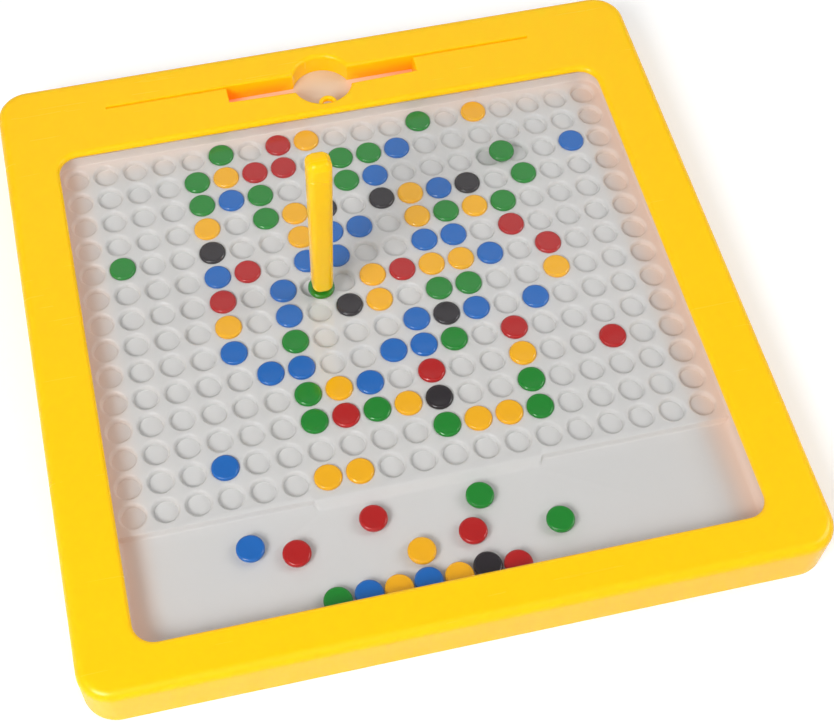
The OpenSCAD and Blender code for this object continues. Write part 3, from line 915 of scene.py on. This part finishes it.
def bead_profile(size, tall):
    """Section of a bead from the roof of its pocket round to the middle of its top: pocket,
    flat foot, taper, upright side, a quarter circle and a very slightly dished top."""
    turn = np.linspace(0, math.pi / 2, 5)
    flat_r = size.radius - size.rounding
    edge = [(flat_r + size.rounding * math.cos(t),
             tall - size.rounding * (1 - math.sin(t))) for t in turn]
    return [(0.0, size.pocket_deep), (size.pocket, size.pocket_deep), (size.pocket, 0.0),
            (size.foot, 0.0), (size.foot + 0.25 * MM, 0.12 * MM),
            (size.radius - 0.1 * MM, size.taper - 0.1 * MM), (size.radius, size.taper + 0.1 * MM),
            *edge, (flat_r - 0.35 * MM, tall - 0.03 * MM), (0.0, tall - 0.06 * MM)]


def bead_places(node, panel):
    """Foot centres of the beads in a CAD node: the node's points fall into cells of the
    dimple grid, and every cell that holds some holds one bead."""
    low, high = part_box(node)
    if max(high.x - low.x, high.y - low.y) < panel.pitch:
        centre = (low + high) / 2
        return np.array([(centre.x, centre.y, low.z)])
    mesh = frame["nodes"][node].data
    points = np.zeros(len(mesh.vertices) * 3, np.float32)
    mesh.vertices.foreach_get("co", points)
    points = points.reshape(-1, 3)[:, :2].astype(float)
    origin = grid_places(panel)[0]
    cells = np.unique(np.round((points - origin) / panel.pitch), axis=0)
    return np.column_stack([origin + cells * panel.pitch, np.full(len(cells), low.z)])


def pen_section(steps=6):
    """Square of width one with round corners, and the circle inside it, point for point."""
    square = round_box(-0.5, -0.5, 0.5, 0.5, 0.3, steps)
    return square, 0.5 * square / np.linalg.norm(square, axis=1)[:, None]


def loft(levels):
    """Levels of (width, roundness, height) joined up round the pen's axis and closed at both
    ends: each level is the square section blended towards the circle by its roundness and
    scaled to its width."""
    square, circle = pen_section()
    centre = np.array(((BARREL_LOW.x + BARREL_HIGH.x) / 2, (BARREL_LOW.y + BARREL_HIGH.y) / 2))
    plans = [centre + width * ((1 - mix) * square + mix * circle) for width, mix, _ in levels]
    rows = [np.column_stack([plan, np.full(len(square), level[2])])
            for plan, level in zip(plans, levels)]
    return [(np.concatenate(rows), quads(len(rows), len(square), True)),
            cap(plans[0], levels[0][2]), cap(plans[-1], levels[-1][2])]


def barrel_shapes(size):
    """The pen's barrel: a rounded tip, four flat sides and the blind bore of the magnet."""
    low, high = BARREL_LOW.z, BARREL_HIGH.z
    nose_tall, bore = 3 * MM, 2 * size.bore
    turn = np.linspace(0, math.pi / 2, 8)
    levels = [(size.tip_wide * (0.44 + 0.56 * math.sin(t)), 1 - t / turn[-1],
               low + nose_tall * (1 - math.cos(t))) for t in turn]
    levels += [(size.top_wide, 0.0, high - SEAM), (size.top_wide - 2 * SEAM, 0.0, high),
               (bore, 1.0, high), (bore, 1.0, low + size.bore_floor)]
    return loft(levels)


def cap_shapes(size):
    """The pen's cap: a round plug that fills the bore's mouth, and a head with a bevelled
    crown."""
    plug = 2 * (size.bore - 0.05 * MM)
    start = BARREL_HIGH.z + 0.1 * MM
    top, bevel, wide = CAP_HIGH.z, size.bevel, size.top_wide
    soft = 0.3 * MM
    return loft([(plug, 1.0, CAP_LOW.z), (plug, 1.0, start), (wide - 2 * SEAM, 0.0, start),
                 (wide, 0.0, start + SEAM), (wide, 0.0, top - bevel - soft),
                 (wide - 0.08 * bevel, 0.0, top - bevel),
                 (0.68 * wide + 0.3 * bevel, 0.0, top - 0.22 * bevel),
                 (0.66 * wide, 0.0, top - 0.06 * bevel), (0.62 * wide, 0.0, top)])


# ---------------------------------------------------------------- operators


class BOARD_OT_shell(bpy.types.Operator):
    """Builds the yellow shell"""
    bl_idname = "board.shell"
    bl_label = "Shell"

    def execute(self, context):
        shells = shell_shapes(context.scene.board_shell)
        make_piece("shell", shells, "case", shell_plastic(), "top_frame")
        return {"FINISHED"}


class BOARD_OT_panel(bpy.types.Operator):
    """Builds the dimpled panel and its tray"""
    bl_idname = "board.panel"
    bl_label = "Dimpled panel"

    def execute(self, context):
        shells = panel_shapes(context.scene.board_panel)
        make_piece("dimpled_panel", shells, "case", panel_plastic(), "bead_board",
                   50.0)
        return {"FINISHED"}


class BOARD_OT_beads(bpy.types.Operator):
    """Builds the beads of every CAD bead node"""
    bl_idname = "board.beads"
    bl_label = "Beads"

    def execute(self, context):
        size = context.scene.board_bead
        bodies = frame["record"]["behaviour"]["bodies"]
        homes = {node: body for body, nodes in bodies.items() for node in nodes}
        for node in sorted(n for n in frame["nodes"] if "bead" in n and n != "bead_board"):
            low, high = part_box(node)
            shape = spin(bead_profile(size, high.z - low.z), 28)
            colour = next((c for c in COLOURS if c in node), "green")
            beads = repeat(shape, bead_places(node, context.scene.board_panel))
            make_piece(f"{node}_moulded", [beads], homes[node], bead_plastic(colour), node)
        return {"FINISHED"}


class BOARD_OT_pen(bpy.types.Operator):
    """Builds the pen's barrel and cap"""
    bl_idname = "board.pen"
    bl_label = "Pen"

    def execute(self, context):
        size = context.scene.board_pen
        make_piece("pen_barrel_moulded", barrel_shapes(size), "pen", shell_plastic(),
                   "pen_barrel")
        make_piece("pen_cap_moulded", cap_shapes(size), "pen", shell_plastic(), "pen_cap")
        return {"FINISHED"}


class BOARD_OT_carried(bpy.types.Operator):
    """Gives the carried-over CAD parts their materials"""
    bl_idname = "board.carried"
    bl_label = "Window, cover and steel"

    def execute(self, context):
        finishes = {"window": window_clear(), "back_cover": shell_plastic(),
                    "case_screws": turned_steel("screw_steel", (0.62, 0.62, 0.63), 0.26),
                    "pen_magnet": turned_steel("magnet_steel", (0.72, 0.71, 0.69), 0.18)}
        core = turned_steel("core_steel", (0.55, 0.55, 0.56), 0.34)
        for name, node in frame["nodes"].items():
            finish = finishes.get(name, core if "_core" in name else None)
            if finish:
                node.data.materials.clear()
                node.data.materials.append(finish)
        return {"FINISHED"}


class BOARD_OT_stage(bpy.types.Operator):
    """Builds the floor, the lamps, the world and the camera"""
    bl_idname = "board.stage"
    bl_label = "Stage"

    def lamp(self, name, place, wide, power):
        """A square soft box at a place, facing the board's middle."""
        data = bpy.data.lights.new(name, "AREA")
        data.size = wide
        data.energy = power
        lamp = bpy.data.objects.new(name, data)
        lamp.location = place
        lamp.rotation_euler = (-Vector(place)).to_track_quat("-Z", "Y").to_euler()
        bpy.context.scene.collection.objects.link(lamp)

    def sky(self, size):
        """A plain white world, brighter at the horizon than overhead."""
        world = bpy.data.worlds.new("studio")
        world.use_nodes = True
        tree = world.node_tree
        light = tree.nodes["Background"]
        light.inputs["Color"].default_value = (1.0, 1.0, 1.0, 1.0)
        way = tree.nodes.new("ShaderNodeTexCoord").outputs["Generated"]
        split = tree.nodes.new("ShaderNodeSeparateXYZ")
        tree.links.new(way, split.inputs["Vector"])
        up = math_node(tree, "MAXIMUM", split.outputs["Z"], 0.0)
        drop = math_node(tree, "MULTIPLY", up, size.zenith - size.sky)
        tree.links.new(math_node(tree, "ADD", drop, size.sky), light.inputs["Strength"])
        return world

    def execute(self, context):
        scene = context.scene
        size = scene.board_stage
        half = size.floor_half
        across = np.linspace(-half, half, 9)
        plan = np.stack(np.meshgrid(across, across), -1).reshape(-1, 2)
        points = np.column_stack([plan, np.full(len(plan), -0.1 * MM)])
        mesh = bpy.data.meshes.new("floor")
        mesh.from_pydata(points.tolist(), [], quads(9, 9, False))
        mesh.materials.append(moulded_plastic("floor_paper", (0.82, 0.82, 0.82, 1.0), 0.6,
                                              drift=0.02, grain=300.0, light=floor_light))
        floor = bpy.data.objects.new("floor", mesh)
        scene.collection.objects.link(floor)
        self.lamp("key", (-0.65, -0.58, 0.78), 0.45, size.key)
        self.lamp("front", (-0.25, -0.75, 1.15), 1.4, size.front)
        self.lamp("fill", (0.85, -0.10, 0.72), 0.5, size.fill)
        self.lamp("back", (0.15, 0.95, 0.85), 0.8, size.back)
        scene.world = self.sky(size)
        scene.view_settings.view_transform = "Standard"
        view = bpy.data.cameras.new("camera")
        view.lens = 68.17
        view.sensor_width = 36.0
        view.shift_x = 0.0714
        view.clip_start = 0.01
        camera = bpy.data.objects.new("camera", view)
        camera.location = (-0.07387, -0.28479, 0.46161)
        camera.rotation_euler = [math.radians(a) for a in (31.350, -0.117, -12.654)]
        scene.collection.objects.link(camera)
        scene.camera = camera
        return {"FINISHED"}


class BOARD_PT_sidebar(bpy.types.Panel):
    """Lists the settings and the steps that build the board."""
    bl_idname = "BOARD_PT_sidebar"
    bl_label = "Bead Board"
    bl_space_type = "VIEW_3D"
    bl_region_type = "UI"
    bl_category = "Bead Board"

    def draw(self, context):
        for group in SETTINGS:
            box = self.layout.box()
            box.label(text=group.title())
            settings = getattr(context.scene, f"board_{group}")
            for name in settings.__annotations__:
                box.prop(settings, name)
        for step in STEPS:
            self.layout.operator(step.bl_idname)


SETTINGS = {"shell": BOARD_PG_shell, "panel": BOARD_PG_panel, "bead": BOARD_PG_bead,
            "pen": BOARD_PG_pen, "finish": BOARD_PG_finish, "stage": BOARD_PG_stage}
STEPS = (BOARD_OT_stage, BOARD_OT_shell, BOARD_OT_panel, BOARD_OT_beads, BOARD_OT_pen,
         BOARD_OT_carried)


def register():
    """Registers the classes and hangs the settings on the scene."""
    for kind in (*SETTINGS.values(), *STEPS, BOARD_PT_sidebar):
        bpy.utils.register_class(kind)
    for group, kind in SETTINGS.items():
        setattr(bpy.types.Scene, f"board_{group}", PointerProperty(type=kind))


def unregister():
    """Takes the settings and the classes away again."""
    for group in SETTINGS:
        delattr(bpy.types.Scene, f"board_{group}")
    for kind in (BOARD_PT_sidebar, *reversed(STEPS), *reversed(SETTINGS.values())):
        bpy.utils.unregister_class(kind)


def main():
    """Builds the whole board."""
    register()
    bpy.ops.board.stage()
    bpy.ops.board.shell()
    bpy.ops.board.panel()
    bpy.ops.board.beads()
    bpy.ops.board.pen()
    bpy.ops.board.carried()


if __name__ == "__main__":
    main()
